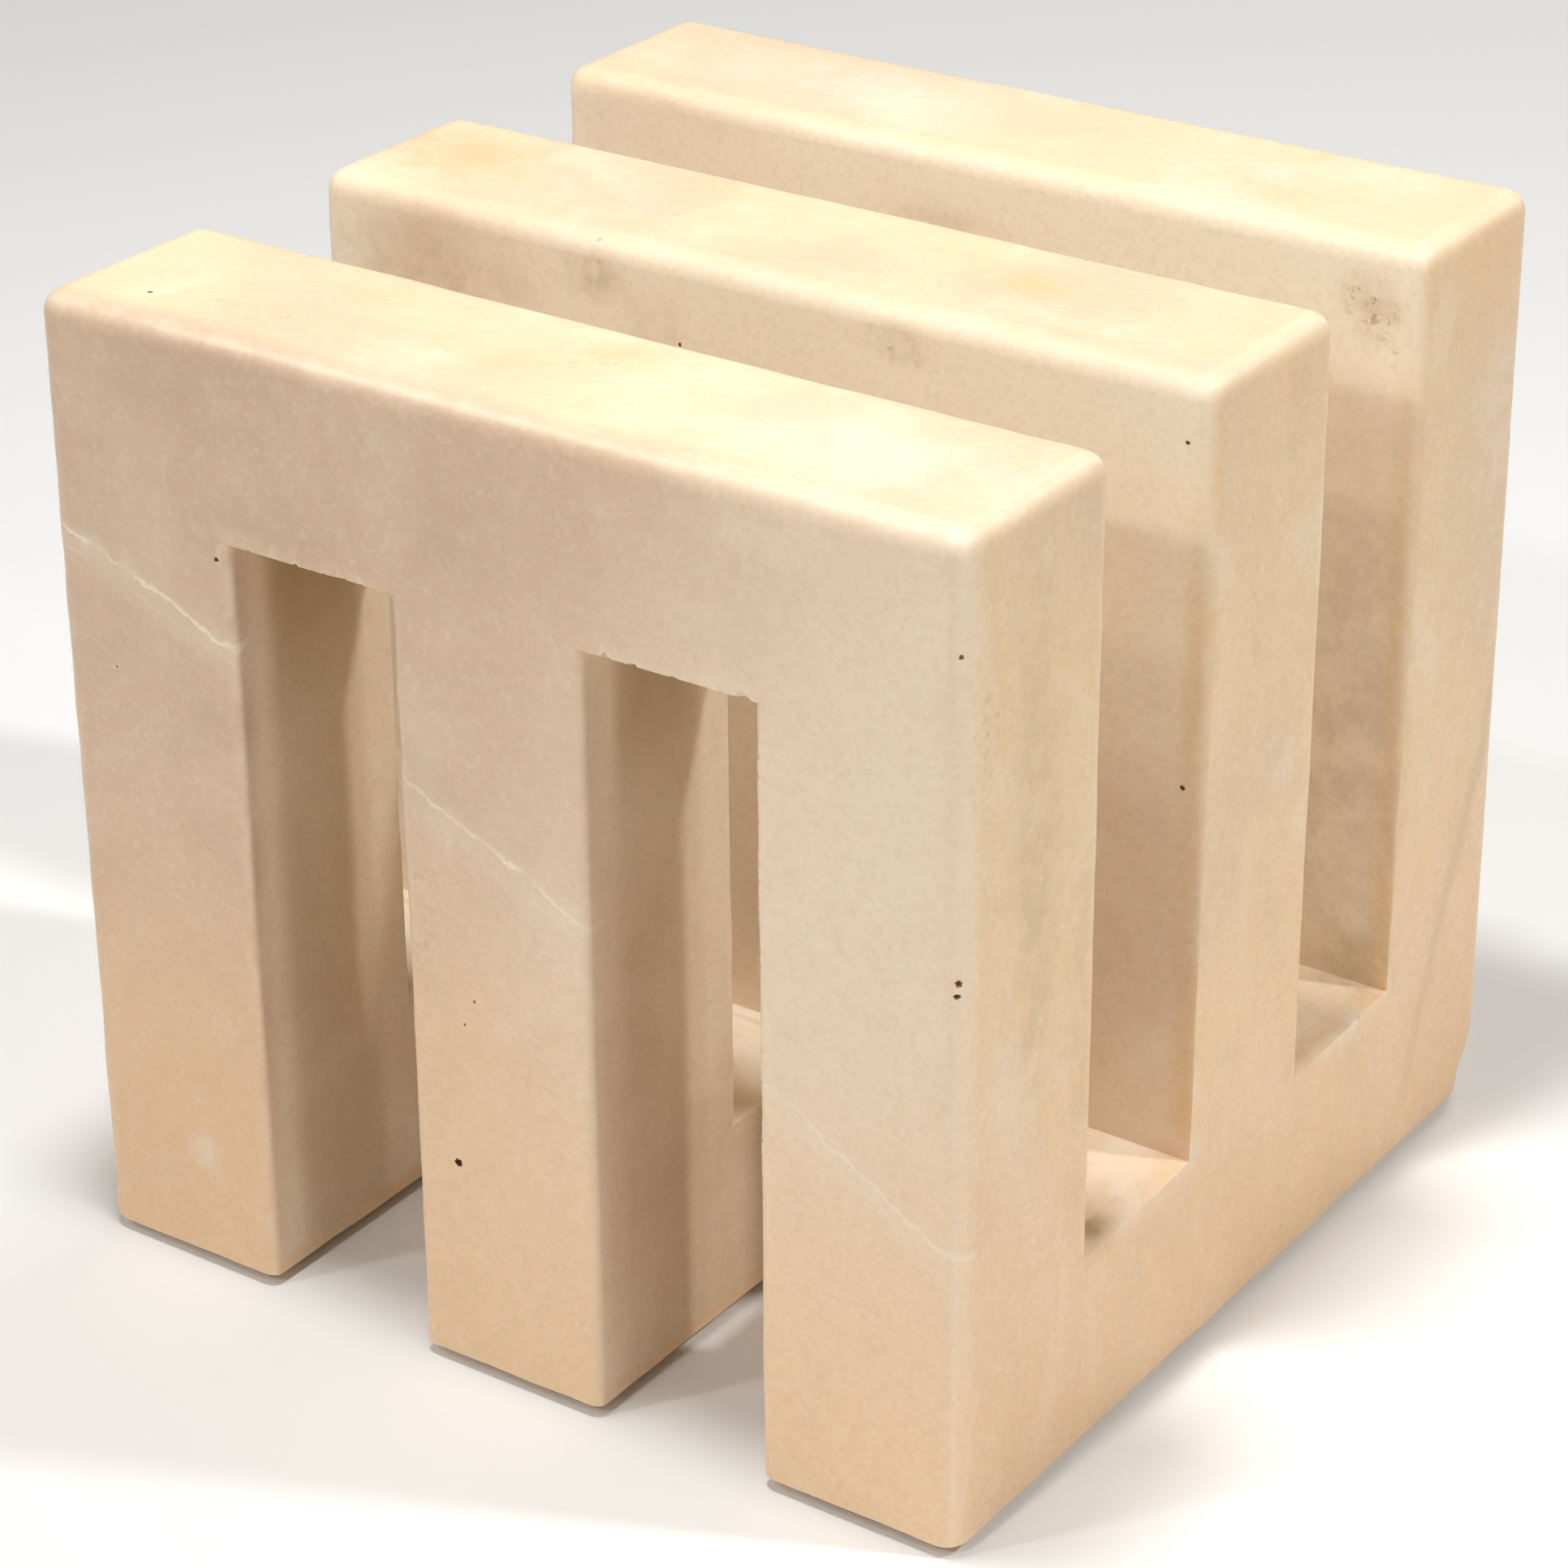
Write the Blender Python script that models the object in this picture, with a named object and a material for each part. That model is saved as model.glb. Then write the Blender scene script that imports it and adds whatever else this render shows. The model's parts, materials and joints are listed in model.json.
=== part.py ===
"""Stone bookend: one block sawn through from above and from below, standing on six felt pads.

Two trenches are sawn down from the top along X and two arches are sawn up from below along Y.
What is left is three top bars along X, nine posts and three foot bars along Y, all one stone.
The origin is the centre of the footprint on the shelf, +Z is up and -Y is the front.
"""

import math

import bmesh
import bpy
from mathutils import Matrix, Vector

MM = 0.001

# The stone block. Legs and arches alternate along X, slabs and trenches alternate along Y.
WIDTH = 130.0 * MM
DEPTH = 130.0 * MM
HEIGHT = 127.0 * MM
LEG_WIDTHS = (28.0 * MM, 27.0 * MM, 27.2 * MM)
ARCH_WIDTHS = (24.2 * MM, 23.6 * MM)
SLAB_WIDTHS = (29.2 * MM, 27.8 * MM, 28.0 * MM)
TRENCH_WIDTHS = (22.4 * MM, 22.6 * MM)
HEADER_HEIGHT = 26.0 * MM
FLOOR_HEIGHT = 26.0 * MM
ROUND_RADIUS = 2.8 * MM
ROUND_SEGMENTS = 4
EASED_RADIUS = 1.2 * MM
EASED_SEGMENTS = 2

# The felt pads under the foot bars.
PAD_RADIUS = 8.0 * MM
PAD_THICKNESS = 1.2 * MM
PAD_END_INSET = 18.0 * MM
PAD_SIDES = 32
PAD_RIM_RADIUS = 0.3 * MM
PAD_RIM_SEGMENTS = 2

# The gap between pad and stone, how far a saw cut overruns, and when two planes count as one.
GAP = 0.3 * MM
OVERRUN = 10.0 * MM
TOLERANCE = 0.01 * MM
FLAT_ANGLE = math.radians(1.0)


def spans(start, solids, gaps):
    """The (low, high) limits of the solids and of the gaps in a row that alternates them."""
    solid_spans = []
    gap_spans = []
    place = start
    for solid, gap in zip(solids, (*gaps, 0.0)):
        solid_spans.append((place, place + solid))
        place += solid
        gap_spans.append((place, place + gap))
        place += gap
    return solid_spans, gap_spans[: len(gaps)]


LEFT, RIGHT = -WIDTH / 2.0, WIDTH / 2.0
FRONT, BACK = -DEPTH / 2.0, DEPTH / 2.0
BASE = PAD_THICKNESS + GAP
TOP = BASE + HEIGHT
LEGS, ARCHES = spans(LEFT, LEG_WIDTHS, ARCH_WIDTHS)
SLABS, TRENCHES = spans(FRONT, SLAB_WIDTHS, TRENCH_WIDTHS)


def clear_scene():
    """Removes every object, so that the file can run again in an open session."""
    for thing in list(bpy.data.objects):
        bpy.data.objects.remove(thing, do_unlink=True)


def make_material(name, colour, roughness, metallic=0.0):
    """A plain Principled material."""
    material = bpy.data.materials.new(name)
    material.use_nodes = True
    shader = material.node_tree.nodes["Principled BSDF"]
    shader.inputs["Base Color"].default_value = (*colour, 1.0)
    shader.inputs["Roughness"].default_value = roughness
    shader.inputs["Metallic"].default_value = metallic
    return material


def make_object(name, shape, material):
    """Turns a bmesh into a named object with its faces pointing out."""
    bmesh.ops.recalc_face_normals(shape, faces=shape.faces)
    mesh = bpy.data.meshes.new(name)
    shape.to_mesh(mesh)
    shape.free()
    mesh.materials.append(material)
    thing = bpy.data.objects.new(name, mesh)
    bpy.context.collection.objects.link(thing)
    return thing


def box(low, high):
    """A bmesh box between two corners."""
    low, high = Vector(low), Vector(high)
    shape = bmesh.new()
    bmesh.ops.create_cube(shape, size=1.0)
    bmesh.ops.scale(shape, vec=high - low, verts=shape.verts)
    bmesh.ops.translate(shape, vec=(low + high) / 2.0, verts=shape.verts)
    return shape


def saw_cuts():
    """The four slots as boxes: the arches open at the bottom, the trenches open at the top."""
    cuts = {}
    for side, (low, high) in zip(("left", "right"), ARCHES):
        corner = (low, FRONT - OVERRUN, BASE - OVERRUN)
        cuts[f"{side}_arch_cut"] = box(corner, (high, BACK + OVERRUN, TOP - HEADER_HEIGHT))
    for end, (low, high) in zip(("front", "back"), TRENCHES):
        corner = (LEFT - OVERRUN, low, BASE + FLOOR_HEIGHT)
        cuts[f"{end}_trench_cut"] = box(corner, (RIGHT + OVERRUN, high, TOP + OVERRUN))
    return cuts


def saw(block):
    """Takes the four slots out of the block."""
    steel = make_material("saw_steel", (0.5, 0.5, 0.5), 0.4, 1.0)
    for name, shape in saw_cuts().items():
        cutter = make_object(name, shape, steel)
        cutter.hide_render = True
        cutter.display_type = "WIRE"
        cut = block.modifiers.new(name, "BOOLEAN")
        cut.operation = "DIFFERENCE"
        cut.solver = "EXACT"
        cut.object = cutter
    graph = bpy.context.evaluated_depsgraph_get()
    sawn = bpy.data.meshes.new_from_object(block.evaluated_get(graph))
    block.modifiers.clear()
    block.data = sawn


def on_plane(value, planes):
    """True where a coordinate is one of the given planes."""
    return any(abs(value - plane) < TOLERANCE for plane in planes)


def is_upright(a, b):
    """True for an edge along Z."""
    return abs(a.x - b.x) < TOLERANCE and abs(a.y - b.y) < TOLERANCE


def is_rounded(edge):
    """True on the top edges, the four outer corners and the trench mouths at both sides."""
    a, b = (vertex.co for vertex in edge.verts)
    if on_plane(a.z, [TOP]) and on_plane(b.z, [TOP]):
        return True
    slab_faces = [plane for span in SLABS for plane in span]
    return is_upright(a, b) and on_plane(a.x, [LEFT, RIGHT]) and on_plane(a.y, slab_faces)


def is_eased(edge):
    """True on the upright edges of the arches, at the front and at the back."""
    a, b = (vertex.co for vertex in edge.verts)
    arch_walls = [plane for span in ARCHES for plane in span]
    return is_upright(a, b) and on_plane(a.y, [FRONT, BACK]) and on_plane(a.x, arch_walls)


def round_edges(shape, chosen, radius, segments):
    """Rounds the chosen edges of a bmesh."""
    bmesh.ops.bevel(
        shape,
        geom=[edge for edge in shape.edges if chosen(edge)],
        offset=radius,
        segments=segments,
        profile=0.5,
        affect="EDGES",
        material=-1,
    )


def make_marble_block():
    """The stone: a squared blank, sawn, then rounded on the edges that a hand meets."""
    marble = make_material("marble", (0.80, 0.68, 0.50), 0.35)
    block = make_object("marble_block", box((LEFT, FRONT, BASE), (RIGHT, BACK, TOP)), marble)
    saw(block)
    shape = bmesh.new()
    shape.from_mesh(block.data)
    bmesh.ops.remove_doubles(shape, verts=shape.verts, dist=TOLERANCE)
    bmesh.ops.dissolve_limit(
        shape, angle_limit=FLAT_ANGLE, verts=shape.verts, edges=shape.edges
    )
    round_edges(shape, is_rounded, ROUND_RADIUS, ROUND_SEGMENTS)
    round_edges(shape, is_eased, EASED_RADIUS, EASED_SEGMENTS)
    shape.to_mesh(block.data)
    shape.free()


def make_felt_pads():
    """Two round pads under each foot bar, with a soft lower rim."""
    felt = make_material("felt", (0.045, 0.075, 0.040), 0.95)
    ends = {"front": FRONT + PAD_END_INSET, "back": BACK - PAD_END_INSET}
    for side, (low, high) in zip(("left", "middle", "right"), LEGS):
        for end, y in ends.items():
            shape = bmesh.new()
            bmesh.ops.create_cone(
                shape,
                cap_ends=True,
                segments=PAD_SIDES,
                radius1=PAD_RADIUS,
                radius2=PAD_RADIUS,
                depth=PAD_THICKNESS,
                matrix=Matrix.Translation(((low + high) / 2.0, y, PAD_THICKNESS / 2.0)),
            )
            round_edges(
                shape,
                lambda edge: all(on_plane(vertex.co.z, [0.0]) for vertex in edge.verts),
                PAD_RIM_RADIUS,
                PAD_RIM_SEGMENTS,
            )
            make_object(f"felt_pad_{side}_{end}", shape, felt)


clear_scene()
make_marble_block()
make_felt_pads()
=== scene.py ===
import json
import math
import random

import bmesh
import bpy
from mathutils import Matrix, Vector, noise


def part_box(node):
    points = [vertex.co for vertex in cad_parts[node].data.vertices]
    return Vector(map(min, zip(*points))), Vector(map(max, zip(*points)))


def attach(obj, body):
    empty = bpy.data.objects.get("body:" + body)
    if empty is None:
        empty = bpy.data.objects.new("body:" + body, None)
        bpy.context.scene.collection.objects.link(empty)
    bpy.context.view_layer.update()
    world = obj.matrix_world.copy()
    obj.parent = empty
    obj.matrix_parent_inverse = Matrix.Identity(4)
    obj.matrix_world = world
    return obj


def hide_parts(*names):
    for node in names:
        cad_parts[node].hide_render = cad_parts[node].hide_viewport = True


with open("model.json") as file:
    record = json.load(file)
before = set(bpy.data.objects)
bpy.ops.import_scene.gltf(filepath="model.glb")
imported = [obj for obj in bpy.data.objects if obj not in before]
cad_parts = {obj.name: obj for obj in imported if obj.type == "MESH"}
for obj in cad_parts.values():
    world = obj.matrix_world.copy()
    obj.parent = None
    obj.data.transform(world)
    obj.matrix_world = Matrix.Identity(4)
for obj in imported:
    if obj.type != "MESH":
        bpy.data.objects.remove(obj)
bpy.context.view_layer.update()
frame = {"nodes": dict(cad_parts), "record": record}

MM = 0.001

# The camera stands before the block's front right-hand corner, a little over half a metre
# away, and looks down on it through a long lens.
CAMERA_AZIMUTH = 34.52
CAMERA_DOWN = 25.67
CAMERA_ROLL = 0.27
camera = bpy.data.objects.new("camera", bpy.data.cameras.new("camera"))
camera.location = (290.5 * MM, -419.2 * MM, 313.1 * MM)
camera.rotation_euler = (
    math.radians(90.0 - CAMERA_DOWN),
    math.radians(CAMERA_ROLL),
    math.radians(CAMERA_AZIMUTH),
)
camera.data.sensor_width = 36.0
camera.data.lens = 102.9
camera.data.shift_x = -0.0176
camera.data.shift_y = -0.0600
bpy.context.collection.objects.link(camera)
bpy.context.scene.camera = camera

# The stone is one squared block of pale marble. Four slots are sawn right through it: two
# arches from below, front to back, and two trenches from the top, side to side. Each trench
# took more than one pass of the saw, which left a thin step at the foot of its back wall.
block_low, block_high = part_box("marble_block")
SLOT_CLEARANCE = 0.2 * MM
OVERRUN = 10.0 * MM
TOUCH = 0.02 * MM
STEP_SIZES = ((2.2 * MM, 0.9 * MM), (1.4 * MM, 0.5 * MM))
slots = {slot["name"]: slot["box_m"] for slot in frame["record"]["physics"]["openings"]}


def slot_walls(name, axis):
    """The two walls of a slot: its recorded opening stops just short of them."""
    low, high = slots[name]
    return low[axis] - SLOT_CLEARANCE, high[axis] + SLOT_CLEARANCE


arch_walls = [slot_walls(name, 0) for name in ("left_arch", "right_arch")]
trench_walls = [slot_walls(name, 1) for name in ("front_trench", "back_trench")]
arch_ceiling = slot_walls("left_arch", 2)[1]
trench_floor = slot_walls("front_trench", 2)[0]


def finished(name, shape):
    """Makes an object of a bmesh."""
    mesh = bpy.data.meshes.new(name)
    shape.to_mesh(mesh)
    shape.free()
    thing = bpy.data.objects.new(name, mesh)
    bpy.context.collection.objects.link(thing)
    return thing


def squared(low, high):
    """A plain box between two corners."""
    low, high = Vector(low), Vector(high)
    shape = bmesh.new()
    bmesh.ops.create_cube(shape, size=1.0)
    bmesh.ops.scale(shape, vec=high - low, verts=shape.verts)
    bmesh.ops.translate(shape, vec=(low + high) / 2.0, verts=shape.verts)
    return shape


def trench_waste(front_wall, back_wall, step_width, step_height):
    """What one trench loses: the step runs out towards the right-hand side."""
    outline = (
        (front_wall, trench_floor),
        (back_wall - step_width, trench_floor),
        (back_wall - step_width * 0.7, trench_floor + step_height),
        (back_wall, trench_floor + step_height * 1.2),
        (back_wall, block_high.z + OVERRUN),
        (front_wall, block_high.z + OVERRUN),
    )
    shape = bmesh.new()
    corners = [shape.verts.new((block_low.x - OVERRUN, y, z)) for y, z in outline]
    side = bmesh.ops.contextual_create(shape, geom=corners)["faces"]
    pushed = bmesh.ops.extrude_face_region(shape, geom=side)["geom"]
    far_corners = [part for part in pushed if isinstance(part, bmesh.types.BMVert)]
    width = block_high.x - block_low.x + 2.0 * OVERRUN
    bmesh.ops.translate(shape, vec=(width, 0.0, 0.0), verts=far_corners)
    for corner in far_corners:
        if 0.0 < corner.co.z - trench_floor < 2.0 * step_height:
            corner.co.z = trench_floor + 0.1 * step_height
    bmesh.ops.triangulate(shape, faces=shape.faces)
    bmesh.ops.recalc_face_normals(shape, faces=shape.faces)
    return shape


def apply_modifiers(thing):
    """Gives an object its evaluated mesh and drops its modifiers."""
    graph = bpy.context.evaluated_depsgraph_get()
    mesh = bpy.data.meshes.new_from_object(thing.evaluated_get(graph))
    thing.modifiers.clear()
    thing.data = mesh


def cut_away(thing, waste):
    """Takes the waste shapes out of an object."""
    cutters = [finished("waste", shape) for shape in waste]
    for cutter in cutters:
        cut = thing.modifiers.new("cut", "BOOLEAN")
        cut.operation = "DIFFERENCE"
        cut.solver = "EXACT"
        cut.object = cutter
    apply_modifiers(thing)
    for cutter in cutters:
        bpy.data.objects.remove(cutter, do_unlink=True)


block = finished("marble_bookend", squared(block_low, block_high))
waste = [trench_waste(*walls, *sizes) for walls, sizes in zip(trench_walls, STEP_SIZES)]
for low_wall, high_wall in arch_walls:
    foot = (low_wall, block_low.y - OVERRUN, block_low.z - OVERRUN)
    waste.append(squared(foot, (high_wall, block_high.y + OVERRUN, arch_ceiling)))
cut_away(block, waste)

# Its edges are worn to different sizes: fully rounded where the top and the sides meet, eased
# at the uprights of the arches and of the nine posts, and crisp under the headers and feet.
ROUNDED = 2.8 * MM
EASED = 1.9 * MM
SOFTENED = 1.0 * MM
CRISP = 0.25 * MM
ROUND_SEGMENTS = 6
SHORTEST_EDGE = 3.0 * MM
FLAT_ANGLE = math.radians(1.0)
SHARP_ANGLE = math.radians(57.0)
side_faces = [block_low.x, block_high.x]
slab_faces = [block_low.y, block_high.y, *trench_walls[0], *trench_walls[1]]


def touches(value, planes):
    """True where a coordinate lies on one of the planes."""
    return any(abs(value - plane) < TOUCH for plane in planes)


def edge_wear(edge):
    """How far one sharp edge of the sawn block is worn back."""
    a, b = (vertex.co for vertex in edge.verts)
    if not edge.is_convex or edge.calc_length() < SHORTEST_EDGE:
        return 0.0
    if touches(a.z, [block_high.z]) and touches(b.z, [block_high.z]):
        return ROUNDED
    if (a - b).xy.length < TOUCH:
        outside = touches(a.x, side_faces) and touches(a.y, slab_faces)
        return ROUNDED if outside else EASED
    if touches(a.z, [block_low.z]) and touches(b.z, [block_low.z]):
        return 0.0
    if touches(a.z, [arch_ceiling]):
        return CRISP
    if touches(a.x, side_faces) and touches(b.x, side_faces):
        return SOFTENED
    on_floor = touches(a.z, [trench_floor]) and touches(b.z, [trench_floor])
    return CRISP if on_floor and abs(a.x - b.x) < TOUCH else 0.0


shape = bmesh.new()
shape.from_mesh(block.data)
bmesh.ops.remove_doubles(shape, verts=shape.verts, dist=TOUCH)
bmesh.ops.dissolve_limit(shape, angle_limit=FLAT_ANGLE, verts=shape.verts, edges=shape.edges)
weight = shape.edges.layers.float.new("bevel_weight_edge")
for edge in shape.edges:
    edge[weight] = edge_wear(edge) / ROUNDED
shape.to_mesh(block.data)
shape.free()
rounding = block.modifiers.new("rounding", "BEVEL")
rounding.limit_method = "WEIGHT"
rounding.offset_type = "OFFSET"
rounding.width = ROUNDED
rounding.segments = ROUND_SEGMENTS
rounding.profile = 0.5
rounding.use_clamp_overlap = False
apply_modifiers(block)

# The feet were trued flat after the uprights had been rounded, so their edges stay crisp.
shape = bmesh.new()
shape.from_mesh(block.data)
weight = shape.edges.layers.float["bevel_weight_edge"]
for edge in shape.edges:
    at_foot = all(touches(vertex.co.z, [block_low.z]) for vertex in edge.verts)
    edge[weight] = float(at_foot and edge.calc_face_angle(0.0) > SHARP_ANGLE)
shape.to_mesh(block.data)
shape.free()
truing = block.modifiers.new("truing", "BEVEL")
truing.limit_method = "WEIGHT"
truing.offset_type = "OFFSET"
truing.width = CRISP
truing.segments = 2
truing.use_clamp_overlap = False
apply_modifiers(block)

# It was ground and polished by hand, so its faces aren't quite flat, its rounding isn't quite
# even, and the crisp edges under the headers are nibbled where the saw broke out.
GRID = 2.2 * MM
MARGIN = ROUNDED + 0.3 * MM
BROAD_WAVE = (28.0, 0.10 * MM)
FINE_WAVE = (110.0, 0.025 * MM)
RUBBED_WAVE = (160.0, 0.16 * MM)
RUBBED_SHIFT = Vector((7.0, 3.0, 1.0))
SLANT_OF_WORN_EDGE = 0.25
CORNER_LOSS = 5.0 * MM
CORNER_REACH = 9.0 * MM


def grid_planes(low, high, walls):
    """Places for cuts across one direction, clear of the rounded edges at every wall."""
    stops = [low, *walls, high]
    planes = []
    for start, end in zip(stops, stops[1:]):
        start, end = start + MARGIN, end - MARGIN
        count = max(1, round((end - start) / GRID))
        planes += [start + (end - start) * step / count for step in range(count + 1)]
    return planes


def ease(value, start, end):
    """0 where a value is at the start, rising smoothly to 1 at the end."""
    part = min(1.0, max(0.0, (value - start) / (end - start)))
    return part * part * (3.0 - 2.0 * part)


def slant(normal):
    """0 on a face that is square to the block, rising to 1 on a worn edge."""
    return min(1.0, (1.0 - max(abs(part) for part in normal)) / SLANT_OF_WORN_EDGE)


shape = bmesh.new()
shape.from_mesh(block.data)
inner_x = [wall for walls in arch_walls for wall in walls]
inner_y = [wall for walls in trench_walls for wall in walls]
grids = (
    grid_planes(block_low.x, block_high.x, inner_x),
    grid_planes(block_low.y, block_high.y, inner_y),
    grid_planes(block_low.z, block_high.z, [trench_floor, arch_ceiling]),
)
for axis, planes in enumerate(grids):
    across = Vector((0.0, 0.0, 0.0))
    across[axis] = 1.0
    for plane in planes:
        everything = [*shape.verts, *shape.edges, *shape.faces]
        bmesh.ops.bisect_plane(
            shape, geom=everything, dist=TOUCH, plane_co=across * plane, plane_no=across
        )
shape.normal_update()
moves = []
for vertex in shape.verts:
    rise = noise.noise(vertex.co * BROAD_WAVE[0]) * BROAD_WAVE[1]
    rise += noise.noise(vertex.co * FINE_WAVE[0]) * FINE_WAVE[1]
    rubbed = noise.noise(vertex.co * RUBBED_WAVE[0] + RUBBED_SHIFT) * RUBBED_WAVE[1]
    moves.append(vertex.normal * (rise + rubbed * slant(vertex.normal)))
for vertex, move in zip(shape.verts, moves):
    vertex.co += move
# Its lower rear right corner has been rubbed much rounder than the others.
for vertex in shape.verts:
    height = vertex.co.z - block_low.z
    radius = ROUNDED + CORNER_LOSS * ease(height, CORNER_REACH, 0.0)
    axis = block_high.xy - Vector((radius, radius))
    from_axis = vertex.co.xy - axis
    if min(from_axis) > 0.0 and from_axis.length > radius:
        vertex.co.xy = axis + from_axis.normalized() * radius
shape.to_mesh(block.data)
shape.free()

# Small losses are cut into it last: the splinters that the saw broke out under the headers and
# along the trench mouths, a few knocks, and the pits where dirt or rust has settled.
SMALLEST_BITE = 0.42 * MM
LONGEST_BITE = 1.35
BITE_ROUGHNESS = 0.28
ROUGH_REACH = LONGEST_BITE * (1.0 + BITE_ROUGHNESS)
HEADER_END = 2.2
HEADER_SPLINTERS = (0.08, 1.15)
MOUTH_ENDS = (3.0, 4.0)
MOUTH_SPLINTERS = (3.5, 0.5)
MOUTH_DEPTH = 0.2
JUST_INSIDE = 0.996
UPRIGHT_INSET = 0.5
UPRIGHT_TOP_GAP = 4.0
UPRIGHT_LOW_END = 10.0
UPRIGHT_SPLINTERS = (2.2, 0.6)
chance = random.Random(11)
losses = bmesh.new()
loss_faces = {"fresh_break": [], "dirt_pit": [], "rust_pit": []}


def bite(kind, place, size, subdivisions=2):
    """Room for one small loss: an uneven pebble of waste."""
    stone = bmesh.ops.create_icosphere(losses, subdivisions=subdivisions, radius=size)["verts"]
    turn = Matrix.Rotation(chance.uniform(0.0, math.tau), 3, "Z")
    stretch = Vector([chance.uniform(0.8, LONGEST_BITE) for _ in range(3)])
    for vertex in stone:
        rough = 1.0 + chance.uniform(-BITE_ROUGHNESS, BITE_ROUGHNESS)
        vertex.co = place + turn @ (vertex.co * stretch) * rough
    loss_faces[kind] += {face for vertex in stone for face in vertex.link_faces}


def nibble(start, end, outward, mean_gap, largest):
    """Splinters along one edge, centred a little outside it, in millimetres."""
    start, end = Vector(start) * MM, Vector(end) * MM
    outward = Vector(outward).normalized()
    along = (end - start).normalized()
    place = chance.uniform(0.0, mean_gap * MM)
    while place < (end - start).length:
        size = SMALLEST_BITE + (largest * MM - SMALLEST_BITE) * chance.random() ** 2
        place += size * ROUGH_REACH
        depth = chance.uniform(0.4, 0.85) * size
        middle = start + along * place + outward * (size - depth)
        bite("fresh_break", middle, size, subdivisions=1)
        place += size * ROUGH_REACH + chance.expovariate(1.0 / (mean_gap * MM))


sides = [value / MM for value in side_faces]
front, back = block_low.y / MM, block_high.y / MM
floor_of_trench, under_header = trench_floor / MM, arch_ceiling / MM
for low_wall, high_wall in arch_walls:
    start, end = low_wall / MM + HEADER_END, high_wall / MM - HEADER_END
    for face, outward in ((front, (0, -1, -1)), (back, (0, 1, -1))):
        ends = (start, face, under_header), (end, face, under_header)
        nibble(*ends, outward, *HEADER_SPLINTERS)
for side in sides:
    outward = (math.copysign(1.0, side), 0, 1)
    across, upward = side * JUST_INSIDE, floor_of_trench - MOUTH_DEPTH
    for low_wall, high_wall in trench_walls:
        start, end = low_wall / MM + MOUTH_ENDS[0], high_wall / MM - MOUTH_ENDS[1]
        nibble((across, start, upward), (across, end, upward), outward, *MOUTH_SPLINTERS)
right_upright = arch_walls[1][1] / MM + UPRIGHT_INSET
start = (right_upright, front + UPRIGHT_INSET, under_header - UPRIGHT_TOP_GAP)
end = (*start[:2], UPRIGHT_LOW_END)
nibble(start, end, (-1, -1, 0), *UPRIGHT_SPLINTERS)

KNOCKS = (
    ((46.5, 14.0, 128.0), 0.95),
    ((49.6, 14.1, 128.3), 0.6),
    ((-21.4, -13.0, 127.9), 0.7),
    ((-8.0, 36.6, 128.0), 0.5),
    ((-64.6, -40.0, 27.2), 0.8),
    ((30.0, 64.6, 1.9), 0.9),
)
for place, size in KNOCKS:
    bite("fresh_break", Vector(place) * MM, size * MM)
PITS = (
    ("dirt_pit", (-6.1, -65.0, 29.3), 0.55),
    ("dirt_pit", (-52.8, -58.0, 128.5), 0.26),
    ("dirt_pit", (-38.7, -65.0, 100.4), 0.28),
    ("dirt_pit", (62.2, -13.4, 77.4), 0.3),
    ("dirt_pit", (61.4, -13.4, 120.5), 0.26),
    ("dirt_pit", (-9.0, -13.4, 117.0), 0.28),
    ("dirt_pit", (-56.0, -65.0, 82.0), 0.18),
    ("dirt_pit", (21.2, 65.0, 88.0), 0.5),
    ("dirt_pit", (-65.0, 3.0, 60.0), 0.45),
    ("rust_pit", (64.1, -64.1, 75.7), 0.44),
    ("rust_pit", (64.0, -64.2, 74.1), 0.36),
    ("rust_pit", (64.1, -64.2, 114.5), 0.26),
    ("rust_pit", (-2.6, -65.0, 52.6), 0.22),
    ("rust_pit", (-4.2, -65.0, 49.0), 0.2),
)
for kind, place, size in PITS:
    bite(kind, Vector(place) * MM, size * MM, subdivisions=3)
marble = bpy.data.materials.new("polished_marble")
block.data.materials.append(marble)
for index, faces in enumerate(loss_faces.values()):
    for face in faces:
        face.material_index = index
cutter = finished("losses", losses)
for kind in loss_faces:
    cutter.data.materials.append(bpy.data.materials.new(kind))
cut = block.modifiers.new("losses", "BOOLEAN")
cut.operation = "DIFFERENCE"
cut.solver = "EXACT"
cut.material_mode = "TRANSFER"
cut.object = cutter
apply_modifiers(block)
bpy.data.objects.remove(cutter, do_unlink=True)
mesh = block.data
kinds = [material.name for material in mesh.materials]
for kind in loss_faces:
    marks = mesh.attributes.new(kind, "FLOAT", "FACE")
    for face in mesh.polygons:
        if kinds[face.material_index].startswith(kind):
            marks.data[face.index].value = 1.0
for face in mesh.polygons:
    face.use_smooth = face.material_index == 0
    face.material_index = 0
mesh.materials.clear()
mesh.materials.append(marble)
for kind in loss_faces:
    bpy.data.materials.remove(bpy.data.materials[kind])
mesh.set_sharp_from_angle(angle=math.radians(40.0))
even = block.modifiers.new("even_shading", "WEIGHTED_NORMAL")
even.keep_sharp = True
apply_modifiers(block)

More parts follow.
